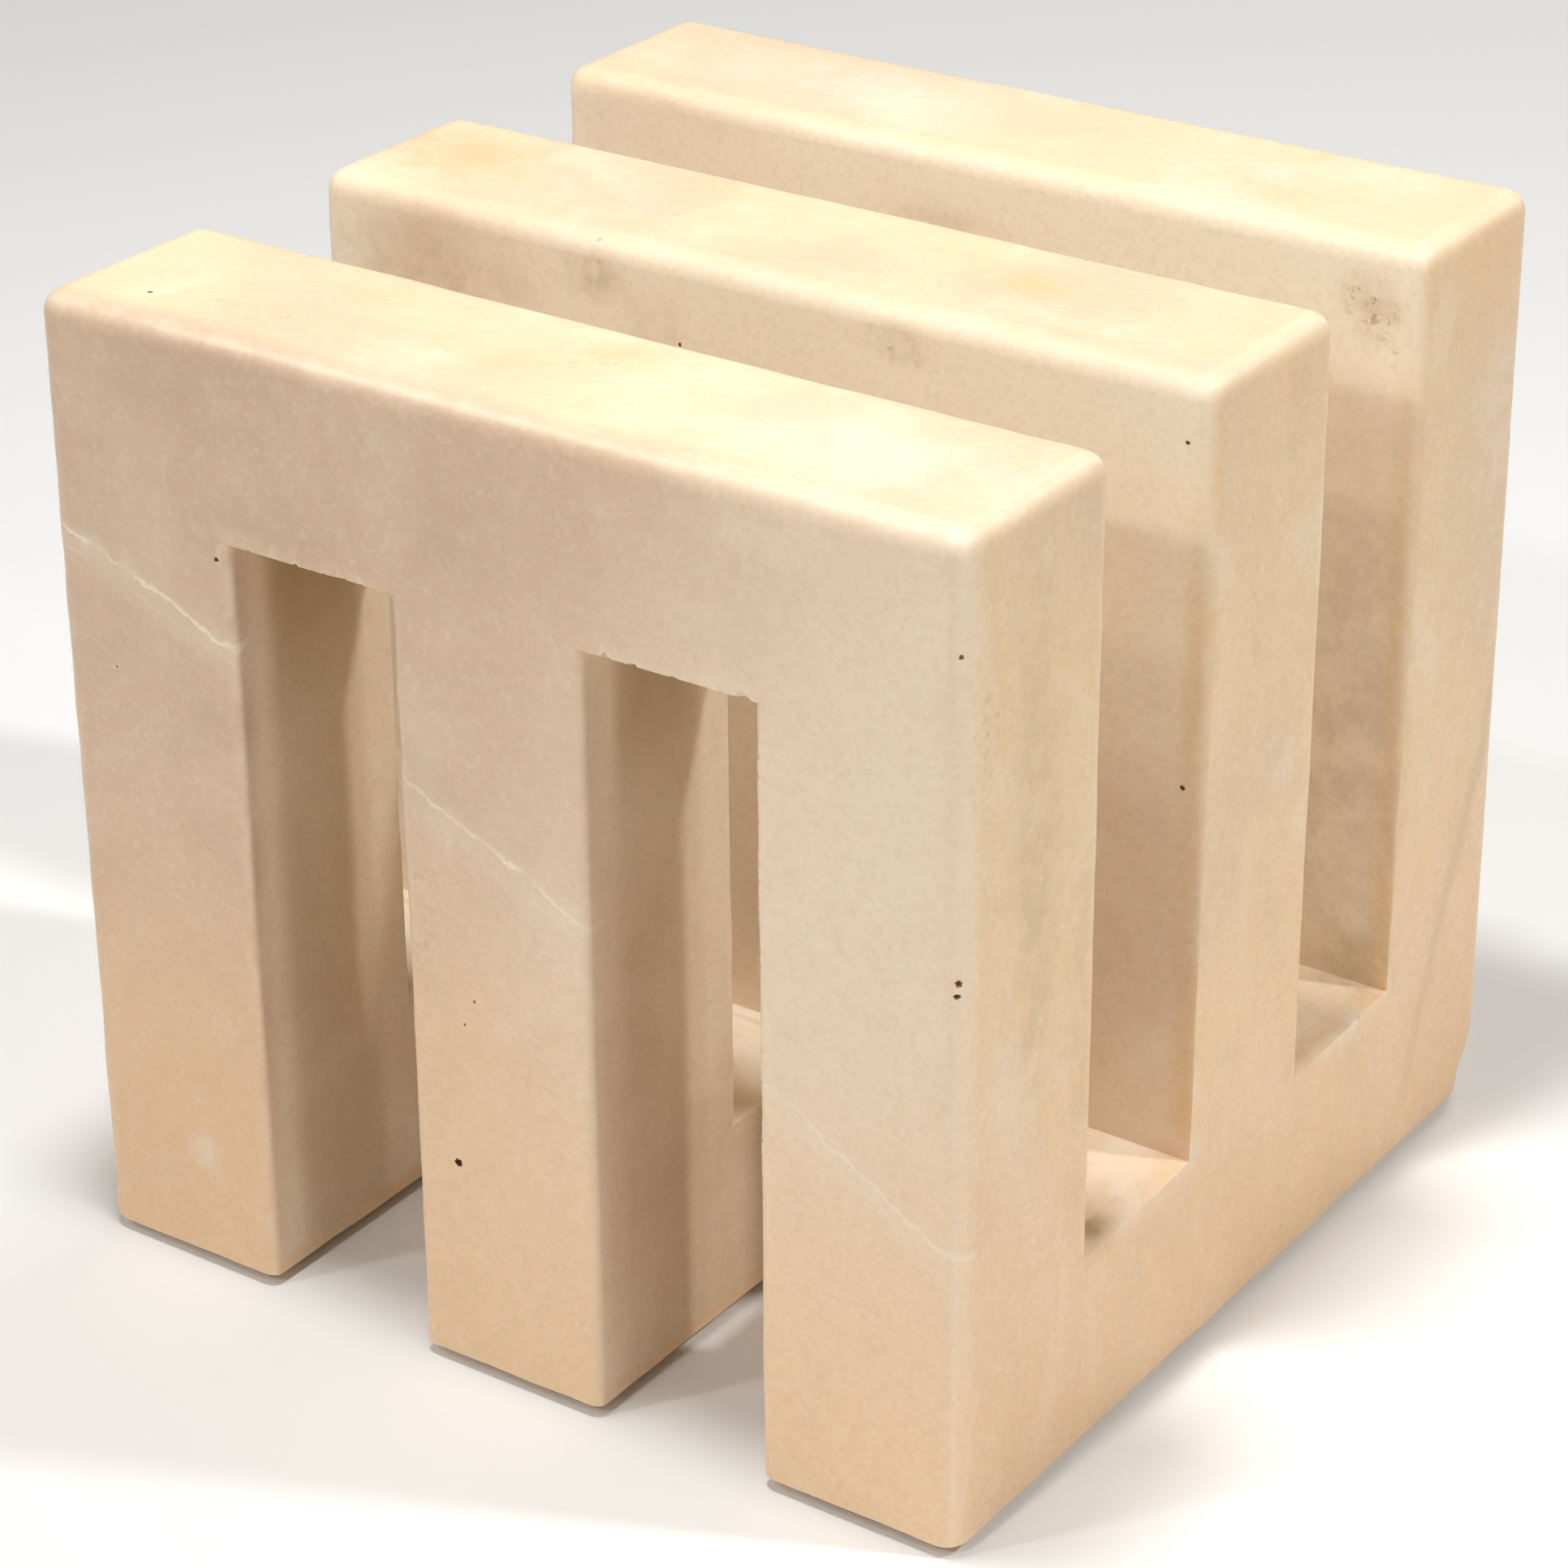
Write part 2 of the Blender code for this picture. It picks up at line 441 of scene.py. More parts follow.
# What has happened to its surface is kept on the mesh: where it is rubbed, where it was only
# sawn, a painted shade in the arches, and the stains, as soft spots, a few of which are painted
# light or shade.
SKIN = 1.2 * MM
ARCH_SHADE_LEFT = 0.40
ARCH_SHADE_RIGHT = 0.24
ARCH_SHADE_ABOVE = 0.45
ARCH_SHADE_RISE = (72.0 * MM, 97.0 * MM)
ARCH_SHADE_EDGE = (9.5 * MM, 6.0 * MM)
STAINS = {
    "olive": (
        ((-21.9, -13.4, 123.0), (6.5, 3.0, 4.5), 0.42),
        ((22.0, -13.4, 124.0), (6.0, 3.0, 3.4), 0.45),
        # These two darken the front trench's floor in its corners against the front slab.
        ((62.5, -32.5, 28.0), (4.6, 4.6, 3.6), 1.0),
        ((-43.2, -33.0, 28.0), (5.5, 4.4, 4.0), 1.0),
        ((65.0, -50.0, 84.0), (4.0, 7.0, 50.0), 0.24),
        ((65.0, -40.0, 60.0), (4.0, 4.0, 40.0), 0.16),
        ((65.0, 5.7, 119.0), (4.0, 3.0, 12.0), 0.26),
        ((60.0, 35.5, 31.0), (9.0, 3.4, 8.0), 0.55),
        ((-65.0, 40.0, 100.0), (4.0, 9.0, 30.0), 0.30),
    ),
    "grey": (
        ((-13.0, -13.4, 118.0), (6.0, 3.0, 8.0), 0.34),
        ((-4.0, 37.0, 118.5), (15.0, 3.0, 4.0), 0.24),
        ((57.5, 37.0, 119.9), (6.5, 3.0, 6.0), 0.45),
        ((-58.0, -65.0, 101.5), (7.0, 3.0, 4.0), 0.40),
        ((-50.0, -65.0, 121.0), (24.0, 3.0, 8.0), 0.24),
        ((-31.0, -65.0, 105.0), (12.0, 3.0, 7.0), 0.26),
        ((-2.0, -65.0, 112.0), (16.0, 3.0, 9.0), 0.16),
        ((-12.0, -65.0, 79.0), (9.0, 3.0, 8.0), 0.26),
        ((15.0, 65.0, 90.0), (20.0, 3.0, 16.0), 0.30),
        ((-65.0, -10.0, 40.0), (4.0, 18.0, 10.0), 0.30),
        ((-56.0, 0.3, 128.5), (16.0, 11.0, 4.0), 0.34),
        ((30.0, 0.3, 128.5), (12.0, 6.0, 4.0), 0.34),
        # This broad one is painted shade over the middle of the rear slab's front face.
        ((0.0, 37.0, 66.0), (120.0, 3.0, 52.0), 0.50),
        ((-48.0, -13.4, 119.0), (22.0, 3.0, 9.0), 0.30),
    ),
    "amber": (
        ((5.1, -43.2, 128.5), (5.5, 4.5, 4.0), 0.62),
        ((-30.0, -44.0, 128.5), (13.0, 5.0, 4.0), 0.34),
        ((-8.0, -52.0, 128.5), (24.0, 7.0, 4.0), 0.26),
        ((46.0, -44.0, 128.5), (14.0, 4.0, 4.0), 0.22),
        ((32.0, 1.5, 128.5), (11.0, 5.5, 4.0), 0.70),
        ((22.0, 6.0, 128.5), (12.0, 4.0, 4.0), 0.30),
        ((-52.0, 0.0, 128.5), (17.0, 11.0, 5.0), 0.62),
        ((-22.0, 8.0, 128.5), (14.0, 4.0, 4.0), 0.35),
        ((44.0, 45.0, 128.5), (18.0, 6.0, 4.0), 0.18),
        ((-50.0, -65.0, 30.0), (26.0, 4.0, 26.0), 0.30),
        ((-5.0, -65.0, 45.0), (16.0, 4.0, 22.0), 0.25),
        ((65.0, 10.0, 12.0), (5.0, 60.0, 14.0), 0.25),
        ((65.0, 52.0, 122.0), (5.0, 16.0, 15.0), 0.50),
        ((65.0, 0.0, 124.0), (5.0, 14.0, 9.0), 0.30),
        ((0.0, 65.0, 20.0), (60.0, 4.0, 18.0), 0.35),
    ),
    "bruise": (
        ((-47.2, -65.0, 16.6), (3.0, 2.5, 3.0), 0.50),
        ((-58.5, -65.0, 97.5), (3.5, 2.5, 2.5), 0.35),
        ((30.0, -13.4, 30.0), (60.0, 3.0, 4.0), 0.35),
        ((56.0, -14.5, 27.5), (6.0, 2.2, 2.0), 0.60),
        ((-1.2, -15.0, 27.5), (9.0, 2.4, 2.0), 0.60),
        ((-28.0, 51.0, 128.5), (34.0, 14.0, 4.0), 0.26),
        ((46.0, -51.0, 128.5), (34.0, 13.0, 4.0), 0.20),
        # These three are painted light on the trench floors: a band along the front one, pools at
        # their right ends.
        ((0.0, -22.0, 27.5), (240.0, 9.0, 1.5), 0.40),
        ((65.0, -24.0, 27.5), (4.0, 12.0, 1.4), 0.45),
        ((65.0, 26.0, 27.5), (4.0, 12.0, 1.4), 0.45),
    ),
    "specks": (
        ((57.4, 37.0, 120.4), (4.6, 3.0, 4.6), 0.80),
        ((61.0, 37.0, 116.0), (3.0, 3.0, 4.0), 0.45),
        ((22.0, -13.4, 124.2), (4.5, 3.0, 2.6), 0.45),
        ((-21.0, -13.4, 126.0), (3.4, 3.0, 2.0), 0.40),
        ((-40.0, -54.0, 128.5), (16.0, 7.0, 4.0), 0.22),
        ((4.0, -46.0, 128.5), (6.0, 5.0, 4.0), 0.34),
        ((-12.0, -65.0, 60.0), (8.0, 3.0, 16.0), 0.20),
        ((-26.0, -65.0, 106.0), (10.0, 3.0, 5.0), 0.20),
        ((64.0, -60.0, 104.0), (4.0, 5.0, 16.0), 0.30),
    ),
}
slab_middles = [
    (block_low.y + trench_walls[0][0]) / 2.0,
    (trench_walls[0][1] + trench_walls[1][0]) / 2.0,
    (trench_walls[1][1] + block_high.y) / 2.0,
]


def spot(place, middle, reach):
    """A soft spot, in millimetres: 1 in its middle and 0 past its reach."""
    offset = [(a - b) / c for a, b, c in zip(place, middle, reach)]
    return ease(math.sqrt(sum(part * part for part in offset)), 1.0, 0.1)


mesh = block.data
names = ("worn", "sawn", "grime", *STAINS)
for name in names:
    mesh.attributes.new(name, "FLOAT", "POINT")
marks = {name: mesh.attributes[name].data for name in names}
for vertex in mesh.vertices:
    index, place = vertex.index, vertex.co
    outer = min(min(place - block_low), min(block_high - place))
    marks["worn"][index].value = slant(vertex.normal)
    marks["sawn"][index].value = ease(outer, SKIN * 0.4, SKIN)
    # Painted shade in the arches: darker in the left one and near the ceilings, fading at slab
    # faces.
    if outer > SKIN and place.z < arch_ceiling + SKIN:
        from_middle = min(abs(place.y - middle) for middle in slab_middles)
        thickness = ARCH_SHADE_RIGHT if place.x > 0.0 else ARCH_SHADE_LEFT
        thickness += ARCH_SHADE_ABOVE * ease(place.z, *ARCH_SHADE_RISE)
        marks["grime"][index].value = thickness * ease(from_middle, *ARCH_SHADE_EDGE)
    for name, spots in STAINS.items():
        marks[name][index].value = max(
            strength * spot(place / MM, middle, reach) for middle, reach, strength in spots
        )

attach(block, "root")
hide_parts("marble_block")

# The marble is cream, clouded with soft mauve grey; its front skin is mauve to the upper left and
# paler to the lower right. Painted light lies on its top, right-hand and slot faces and under the
# slab tops, painted shade in the arches, and painted warm bounce light towards the foot. A thin
# white vein, an old healed crack, runs across the front skin. Handling and damp left a few stains,
# pits and rubbed edges. The outside was polished to a satin, the slots were only honed.
CREAM = (0.83, 0.62, 0.425)
CLOUD = (0.76, 0.56, 0.385)
PALE = (0.91, 0.74, 0.56)
FOOT_PAINTED_BOUNCE = (0.88, 0.58, 0.325)
MAUVE = (0.64, 0.45, 0.312)
TOP_FACE_PAINTED_LIGHT = (0.83, 0.66, 0.425)
RIGHT_FACE_PAINTED_LIGHT = (0.85, 0.615, 0.345)
STREAK = (0.76, 0.565, 0.345)
BROKEN = (0.84, 0.70, 0.52)
SLOT_PAINTED_LIGHT = (0.93, 0.78, 0.585)
SLAB_FACE_PAINTED_LIGHT = (0.98, 0.85, 0.665)
WHITE = (0.95, 0.88, 0.78)
OLIVE = (0.47, 0.355, 0.165)
RUST = (0.50, 0.22, 0.08)
DIRT = (0.20, 0.09, 0.025)
GREY = (0.56, 0.41, 0.25)
AMBER = (0.86, 0.56, 0.30)
ARCH_SHADE_COLOUR = (0.49, 0.335, 0.165)
VEIN = (0.92, 0.80, 0.63)
SPECK = (0.42, 0.23, 0.09)

marble.use_nodes = True
tree = marble.node_tree
shader = tree.nodes["Principled BSDF"]
stone_place = tree.nodes.new("ShaderNodeTexCoord").outputs["Object"]


def wire(tree, source, socket):
    """Feeds a socket from another socket, or sets it to a plain value."""
    if isinstance(source, bpy.types.NodeSocket):
        tree.links.new(source, socket)
    else:
        socket.default_value = source


def maths(tree, operation, first, second=0.0, clamp=False):
    node = tree.nodes.new("ShaderNodeMath")
    node.operation = operation
    node.use_clamp = clamp
    wire(tree, first, node.inputs[0])
    wire(tree, second, node.inputs[1])
    return node.outputs[0]


def vectors(tree, operation, first, second=(0.0, 0.0, 0.0)):
    node = tree.nodes.new("ShaderNodeVectorMath")
    node.operation = operation
    wire(tree, first, node.inputs[0])
    wire(tree, second, node.inputs[1])
    return node.outputs["Value" if operation == "LENGTH" else "Vector"]


def cloud(tree, place, size, detail=2.0, roughness=0.5):
    """Noise whose features are about so many metres wide, between 0 and 1."""
    node = tree.nodes.new("ShaderNodeTexNoise")
    wire(tree, place, node.inputs["Vector"])
    node.inputs["Scale"].default_value = 1.0 / size
    node.inputs["Detail"].default_value = detail
    node.inputs["Roughness"].default_value = roughness
    return node


def fade(tree, value, start, end, low=0.0, high=1.0):
    """A smooth step from low, where the value is at the start, to high, at the end."""
    node = tree.nodes.new("ShaderNodeMapRange")
    node.interpolation_type = "SMOOTHSTEP"
    wire(tree, value, node.inputs["Value"])
    node.inputs["From Min"].default_value = start
    node.inputs["From Max"].default_value = end
    node.inputs["To Min"].default_value = low
    node.inputs["To Max"].default_value = high
    return node.outputs["Result"]


def tint(tree, amount, under, over):
    """Lays one colour over another."""
    node = tree.nodes.new("ShaderNodeMix")
    node.data_type = "RGBA"
    wire(tree, amount, node.inputs["Factor"])
    sockets = [socket for socket in node.inputs if socket.type == "RGBA"]
    for source, socket in zip((under, over), sockets):
        wire(tree, (*source, 1.0) if isinstance(source, tuple) else source, socket)
    return [socket for socket in node.outputs if socket.type == "RGBA"][0]


def warped(tree, place, size, shift):
    """The same place, wandering by up to half the shift, so that no outline is drawn straight."""
    drift = cloud(tree, place, size, 3.0).outputs["Color"]
    centred = vectors(tree, "SUBTRACT", drift, (0.5, 0.5, 0.5))
    return vectors(tree, "ADD", place, vectors(tree, "MULTIPLY", centred, (shift, shift, shift)))


def attribute(tree, name):
    """A measure kept on the mesh."""
    node = tree.nodes.new("ShaderNodeAttribute")
    node.attribute_name = name
    return node.outputs["Fac"]


wandering = warped(tree, stone_place, 45.0 * MM, 40.0 * MM)
axes = tree.nodes.new("ShaderNodeSeparateXYZ")
wire(tree, stone_place, axes.inputs[0])
across, inward, upward = axes.outputs
worn = attribute(tree, "worn")
sawn = attribute(tree, "sawn")
front_skin = fade(tree, inward, block_low.y + 4.5 * MM, block_low.y + 1.0 * MM)
right_skin = fade(tree, across, block_high.x - 4.5 * MM, block_high.x - 1.0 * MM)
top_skin = fade(tree, upward, block_high.z - 3.5 * MM, block_high.z - 1.0 * MM)

# Clouds in the stone, painted light on the slot, right-hand and top faces, a mauve front skin
# towards its upper left and paler towards its lower right, and painted warm bounce light low down.
broad = cloud(tree, wandering, 58.0 * MM, 3.0).outputs[0]
veil = cloud(tree, wandering, 20.0 * MM, 3.0, 0.6).outputs[0]
mottle = cloud(tree, stone_place, 4.5 * MM, 3.0, 0.6).outputs[0]
# Painted light: the slot faces are paler, standing in for the light bounced about inside the
# slots.
colour = tint(tree, sawn, CREAM, SLOT_PAINTED_LIGHT)
# Painted light: the right-hand and top faces take the warm tones of the lamps that light them.
colour = tint(tree, right_skin, colour, RIGHT_FACE_PAINTED_LIGHT)
colour = tint(tree, top_skin, colour, TOP_FACE_PAINTED_LIGHT)
colour = tint(tree, fade(tree, broad, 0.44, 0.62, 0.0, 0.7), colour, CLOUD)
colour = tint(tree, fade(tree, veil, 0.50, 0.68, 0.0, 0.5), colour, PALE)
# The front skin is tinted mauve towards its upper left and paler towards its lower right.
rightward = maths(tree, "MULTIPLY_ADD", upward, 0.5)
rightward.node.inputs[2].default_value = -47.5 * MM
rightward = maths(tree, "SUBTRACT", across, rightward)
upper_left_mauve = fade(tree, rightward, 50.0 * MM, -30.0 * MM)
upper_left_mauve = maths(tree, "MULTIPLY", upper_left_mauve, fade(tree, veil, 0.28, 0.62, 1.0, 0.6))
colour = tint(tree, maths(tree, "MULTIPLY", upper_left_mauve, front_skin), colour, MAUVE)
lower_right_pale = fade(tree, rightward, 0.0, 60.0 * MM, 0.0, 0.9)
colour = tint(tree, maths(tree, "MULTIPLY", lower_right_pale, front_skin), colour, PALE)
# Painted warm bounce light from below, rising towards the foot and weaker on the slot faces.
foot_painted_bounce = fade(tree, upward, 82.0 * MM, 8.0 * MM, 0.0, 0.75)
foot_painted_bounce = maths(tree, "MULTIPLY", foot_painted_bounce, fade(tree, sawn, 0.0, 1.0, 1.0, 0.12))
colour = tint(tree, foot_painted_bounce, colour, FOOT_PAINTED_BOUNCE)
colour = tint(tree, fade(tree, mottle, 0.48, 0.74, 0.0, 0.2), colour, CLOUD)
colour = tint(tree, fade(tree, mottle, 0.48, 0.24, 0.0, 0.15), colour, PALE)

# Painted light on the faces between the slabs, just under their tops where the lamps reach them,
# weaker towards the left.
slab_face_painted_light = maths(tree, "MULTIPLY", sawn, fade(tree, upward, 100.0 * MM, 122.0 * MM))
slab_face_painted_light = maths(tree, "MULTIPLY", slab_face_painted_light, fade(tree, across, -52.0 * MM, -22.0 * MM, 0.1, 0.85))
colour = tint(tree, slab_face_painted_light, colour, SLAB_FACE_PAINTED_LIGHT)

# Damp has run down the right-hand side in soft streaks.
drawn_out = vectors(tree, "MULTIPLY", wandering, (1.0, 1.0, 0.14))
streaks = cloud(tree, drawn_out, 8.0 * MM, 2.0, 0.5).outputs[0]
dark_streaks = maths(tree, "MULTIPLY", fade(tree, streaks, 0.50, 0.72, 0.0, 0.32), right_skin)
colour = tint(tree, dark_streaks, colour, STREAK)
pale_streaks = maths(tree, "MULTIPLY", fade(tree, streaks, 0.48, 0.30, 0.0, 0.2), right_skin)
colour = tint(tree, pale_streaks, colour, PALE)

# Crystals: each takes its own slight tone.
crystals = tree.nodes.new("ShaderNodeTexVoronoi")
wire(tree, stone_place, crystals.inputs["Vector"])
crystals.inputs["Scale"].default_value = 1.0 / (0.7 * MM)
crystal_tone = tree.nodes.new("ShaderNodeSeparateColor")
wire(tree, crystals.outputs["Color"], crystal_tone.inputs[0])
grain = crystal_tone.outputs[0]
colour = tint(tree, fade(tree, grain, 0.50, 1.0, 0.0, 0.11), colour, GREY)
colour = tint(tree, fade(tree, grain, 0.35, 0.0, 0.0, 0.10), colour, WHITE)

# The vein: two strands that part and meet again, and fade in places.
VEIN_START = (-61.6 * MM, 98.4 * MM)
VEIN_SLOPE = 0.34
VEIN_CURVE = 0.9
VEIN_STRANDS = (
    (0.0, 0.56 * MM, 0.85, 9.0 * MM, 3.0 * MM),
    (-2.4 * MM, 0.30 * MM, 0.34, 6.0 * MM, 3.0 * MM),
)
along = maths(tree, "SUBTRACT", across, VEIN_START[0])
fall = maths(tree, "MULTIPLY", along, VEIN_SLOPE)
bend = maths(tree, "MULTIPLY", maths(tree, "MULTIPLY", along, along), VEIN_CURVE)
vein_line = maths(tree, "SUBTRACT", VEIN_START[1], maths(tree, "ADD", fall, bend))
above_vein = maths(tree, "SUBTRACT", upward, vein_line)
for shift, thickness, strength, length, sway in VEIN_STRANDS:
    path = cloud(tree, stone_place, length, 5.0, 0.7).outputs[0]
    wander = maths(tree, "MULTIPLY", maths(tree, "SUBTRACT", path, 0.5), sway * 2.0)
    from_line = maths(tree, "ADD", maths(tree, "SUBTRACT", above_vein, shift), wander)
    from_line = maths(tree, "ABSOLUTE", from_line)
    present = fade(tree, mottle, 0.34, 0.52, 0.3 * strength, strength)
    line = maths(tree, "MULTIPLY", fade(tree, from_line, thickness, thickness * 0.2), present)
    halo = fade(tree, from_line, 3.2 * MM, 0.0, 0.0, 0.12)
    vein = maths(tree, "MULTIPLY", maths(tree, "MAXIMUM", halo, line), front_skin)
    colour = tint(tree, vein, colour, VEIN)

# A faint grey vein crosses the right-hand end of the rear slab.
rear_line = maths(tree, "MULTIPLY", maths(tree, "SUBTRACT", inward, 49.0 * MM), 2.48)
off_line = maths(tree, "SUBTRACT", maths(tree, "SUBTRACT", upward, 24.6 * MM), rear_line)
sway = maths(tree, "MULTIPLY", maths(tree, "SUBTRACT", veil, 0.5), 16.0 * MM)
off_line = maths(tree, "ABSOLUTE", maths(tree, "ADD", off_line, sway))
rear_vein = maths(tree, "MULTIPLY", fade(tree, off_line, 7.0 * MM, 0.0, 0.0, 0.30), right_skin)
rear_vein = maths(tree, "MULTIPLY", rear_vein, fade(tree, inward, 40.0 * MM, 48.0 * MM))
colour = tint(tree, rear_vein, colour, GREY)

# The painted shade in the arches and the stains, a few of them painted light or shade, broken up
# by the mottling; then the rounded edges, paler where rubbed and with a painted highlight; then
# the small losses.
arch_shade_breakup = fade(tree, veil, 0.30, 0.70, 1.1, 0.85)
blotched = fade(tree, mottle, 0.36, 0.62, 0.4, 1.3)
spotted = fade(tree, cloud(tree, stone_place, 1.3 * MM, 2.0, 0.6).outputs[0], 0.54, 0.66)
DYES = (
    ("grime", ARCH_SHADE_COLOUR, arch_shade_breakup),
    ("olive", OLIVE, blotched),
    ("grey", GREY, blotched),
    ("amber", AMBER, blotched),
    ("bruise", WHITE, blotched),
    ("specks", SPECK, spotted),
)
for name, dye, pattern in DYES:
    amount = maths(tree, "MULTIPLY", attribute(tree, name), pattern, clamp=True)
    colour = tint(tree, amount, colour, dye)
# The rounded edges are paler: partly rubbed wear, partly a painted highlight.
rubbed = maths(tree, "MULTIPLY", worn, fade(tree, mottle, 0.35, 0.62, 0.15, 0.6))
colour = tint(tree, rubbed, colour, PALE)
for name, dye in (("fresh_break", BROKEN), ("dirt_pit", DIRT), ("rust_pit", RUST)):
    colour = tint(tree, attribute(tree, name), colour, dye)
wire(tree, colour, shader.inputs["Base Color"])

gloss = fade(tree, veil, 0.30, 0.70, 0.33, 0.44)
gloss = maths(tree, "ADD", gloss, maths(tree, "MULTIPLY", sawn, 0.14))
gloss = maths(tree, "ADD", gloss, maths(tree, "MULTIPLY", worn, 0.06))
gloss = maths(tree, "ADD", gloss, maths(tree, "MULTIPLY", grain, 0.06))
wire(tree, gloss, shader.inputs["Roughness"])
shader.inputs["IOR"].default_value = 1.49
shader.inputs["Subsurface Weight"].default_value = 0.25
shader.inputs["Subsurface Radius"].default_value = (1.0, 0.62, 0.38)
shader.inputs["Subsurface Scale"].default_value = 3.0 * MM

sugar = cloud(tree, stone_place, 0.5 * MM, 1.0, 0.6).outputs[0]
peel = cloud(tree, stone_place, 3.2 * MM, 1.0).outputs[0]
relief = maths(tree, "MULTIPLY", peel, 1.6)
relief = maths(tree, "ADD", relief, sugar)
bump = tree.nodes.new("ShaderNodeBump")
bump.inputs["Strength"].default_value = 0.5
bump.inputs["Distance"].default_value = 0.03 * MM
wire(tree, relief, bump.inputs["Height"])
wire(tree, bump.outputs["Normal"], shader.inputs["Normal"])

# Six small wool felt pads keep the stone off the shelf, two under each foot. Each is punched
# from felt cloth, glued on, and pressed by the block's weight into a slightly softened disc.
PAD_RIM = 0.35 * MM
PAD_STEPS = 40
PAD_DENT = 0.05 * MM
FELT_GREEN = (0.045, 0.075, 0.04)
FELT_LIGHT = (0.085, 0.125, 0.07)
FELT_DARK = (0.018, 0.032, 0.016)

felt = bpy.data.materials.new("felt")
felt.use_nodes = True
tree = felt.node_tree
shader = tree.nodes["Principled BSDF"]
felt_place = tree.nodes.new("ShaderNodeTexCoord").outputs["Object"]
tangle = cloud(tree, felt_place, 0.8 * MM, 4.0, 0.7).outputs[0]
tufts = cloud(tree, felt_place, 3.0 * MM, 2.0).outputs[0]
fibres = tree.nodes.new("ShaderNodeTexNoise")
fibres.inputs["Scale"].default_value = 1.0 / (0.25 * MM)
fibres.inputs["Detail"].default_value = 2.0
fibres.inputs["Distortion"].default_value = 3.0
wire(tree, felt_place, fibres.inputs["Vector"])
fibre = fibres.outputs[0]
colour = tint(tree, fade(tree, tufts, 0.35, 0.65, 0.0, 0.5), FELT_GREEN, FELT_LIGHT)
colour = tint(tree, fade(tree, tangle, 0.52, 0.75, 0.0, 0.6), colour, FELT_DARK)
colour = tint(tree, fade(tree, fibre, 0.55, 0.75, 0.0, 0.5), colour, FELT_LIGHT)
wire(tree, colour, shader.inputs["Base Color"])
wire(tree, fade(tree, tangle, 0.3, 0.7, 0.88, 1.0), shader.inputs["Roughness"])
shader.inputs["Sheen Weight"].default_value = 0.35
shader.inputs["Sheen Roughness"].default_value = 0.6
bump = tree.nodes.new("ShaderNodeBump")
bump.inputs["Strength"].default_value = 0.8
bump.inputs["Distance"].default_value = 0.12 * MM
wire(tree, maths(tree, "ADD", tangle, fibre), bump.inputs["Height"])
wire(tree, bump.outputs["Normal"], shader.inputs["Normal"])

for name in [name for name in frame["nodes"] if name.startswith("felt_pad")]:
    low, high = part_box(name)
    middle = (low + high) / 2.0
    thickness = block_low.z - low.z
    pad = bmesh.new()
    outline = bmesh.ops.create_circle(
        pad, cap_ends=True, segments=PAD_STEPS, radius=(high.x - low.x) / 2.0
    )
    lifted = bmesh.ops.extrude_face_region(pad, geom=pad.faces[:])["geom"]
    upper = [part for part in lifted if isinstance(part, bmesh.types.BMVert)]
    bmesh.ops.translate(pad, vec=(0.0, 0.0, thickness), verts=upper)
    bmesh.ops.recalc_face_normals(pad, faces=pad.faces)
    rims = [edge for edge in pad.edges if abs(edge.verts[0].co.z - edge.verts[1].co.z) < TOUCH]
    bmesh.ops.bevel(
        pad,
        geom=rims,
        offset=PAD_RIM,
        segments=3,
        profile=0.5,
        affect="EDGES",
        material=-1,
        clamp_overlap=True,
    )
    ends = [face for face in pad.faces if len(face.verts) == PAD_STEPS]
    for inset in (0.8 * MM, 1.6 * MM, 2.0 * MM):
        bmesh.ops.inset_region(pad, faces=ends, thickness=inset)
    bmesh.ops.translate(pad, vec=(middle.x, middle.y, low.z), verts=pad.verts)
    pad.normal_update()
    soft = [noise.noise(vertex.co * 700.0) * PAD_DENT - PAD_DENT for vertex in pad.verts]
    for vertex, depth in zip(pad.verts, soft):
        if low.z + TOUCH < vertex.co.z < block_low.z - TOUCH:
            vertex.co += vertex.normal * depth
    disc = finished(name + "_cloth", pad)
    disc.data.shade_smooth()
    disc.data.materials.append(felt)
    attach(disc, "root")
    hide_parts(name)

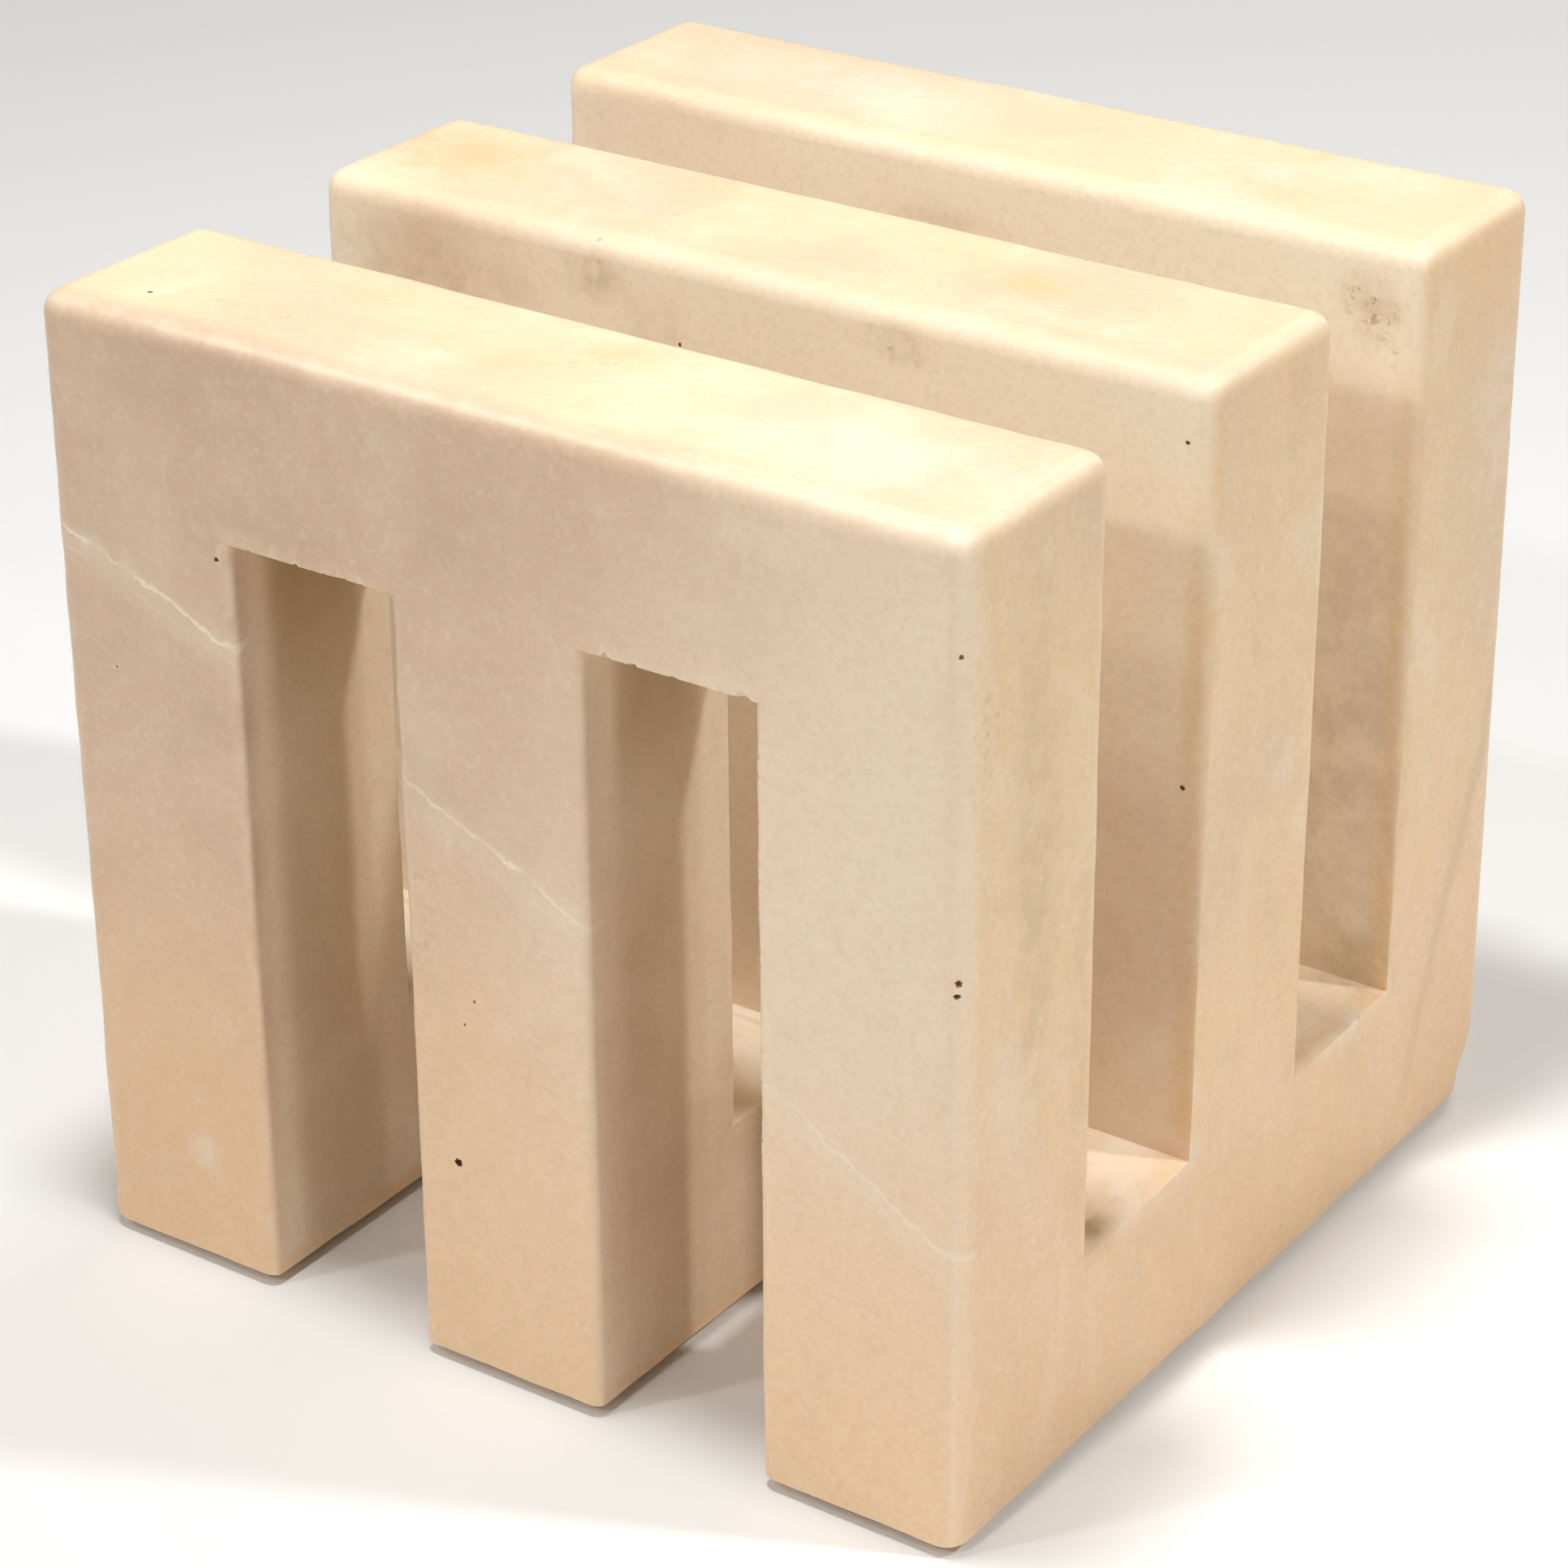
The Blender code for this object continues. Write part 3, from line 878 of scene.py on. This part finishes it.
# A plain pale floor to stand on, which isn't part of the object.
FLOOR_HALF_SIZE = 12.0
FLOOR_PALE = (0.86, 0.85, 0.83, 1.0)
floor_shape = bmesh.new()
bmesh.ops.create_grid(floor_shape, x_segments=1, y_segments=1, size=FLOOR_HALF_SIZE)
floor = finished("floor", floor_shape)
pale_floor = bpy.data.materials.new("pale_floor")
pale_floor.use_nodes = True
floor_shader = pale_floor.node_tree.nodes["Principled BSDF"]
floor_shader.inputs["Base Color"].default_value = FLOOR_PALE
floor_shader.inputs["Roughness"].default_value = 0.9
floor.data.materials.append(pale_floor)

# Soft round studio lamps stand about the block and point at its middle, in a pale room. Each has
# its azimuth and elevation in degrees, its width in metres, its watts and its distance in metres.
ROOM_STRENGTH = 0.20
LAMPS = {
    "front_high": (-30.0, 52.4, 0.1, 3.1, 1.6),
    "front_low": (0.0, 40.3, 0.1, 4.9, 1.6),
    "front_fill": (-5.0, 15.0, 0.1, 0.4, 1.6),
    "right_front": (77.0, 36.0, 0.1, 0.8, 1.6),
    "right_back": (110.0, 48.0, 0.1, 9.1, 1.6),
    "back": (180.0, 50.0, 0.3, 4.0, 1.6),
    "overhead": (0.0, 81.4, 0.08, 1.9, 0.57),
}
middle = (block_low + block_high) / 2.0
for name, (azimuth, elevation, size, watts, distance) in LAMPS.items():
    turn, rise = math.radians(azimuth), math.radians(elevation)
    towards = Vector((math.sin(turn), -math.cos(turn), math.tan(rise))).normalized()
    lamp = bpy.data.objects.new(name, bpy.data.lights.new(name, "AREA"))
    lamp.location = middle + towards * distance
    lamp.rotation_euler = towards.to_track_quat("Z", "Y").to_euler()
    lamp.data.shape = "DISK"
    lamp.data.size = size
    lamp.data.energy = watts
    bpy.context.collection.objects.link(lamp)
room = bpy.data.worlds.new("room")
room.use_nodes = True
background = room.node_tree.nodes["Background"]
background.inputs["Color"].default_value = (1.0, 1.0, 1.0, 1.0)
background.inputs["Strength"].default_value = ROOM_STRENGTH
bpy.context.scene.world = room
bpy.context.scene.view_settings.view_transform = "Standard"
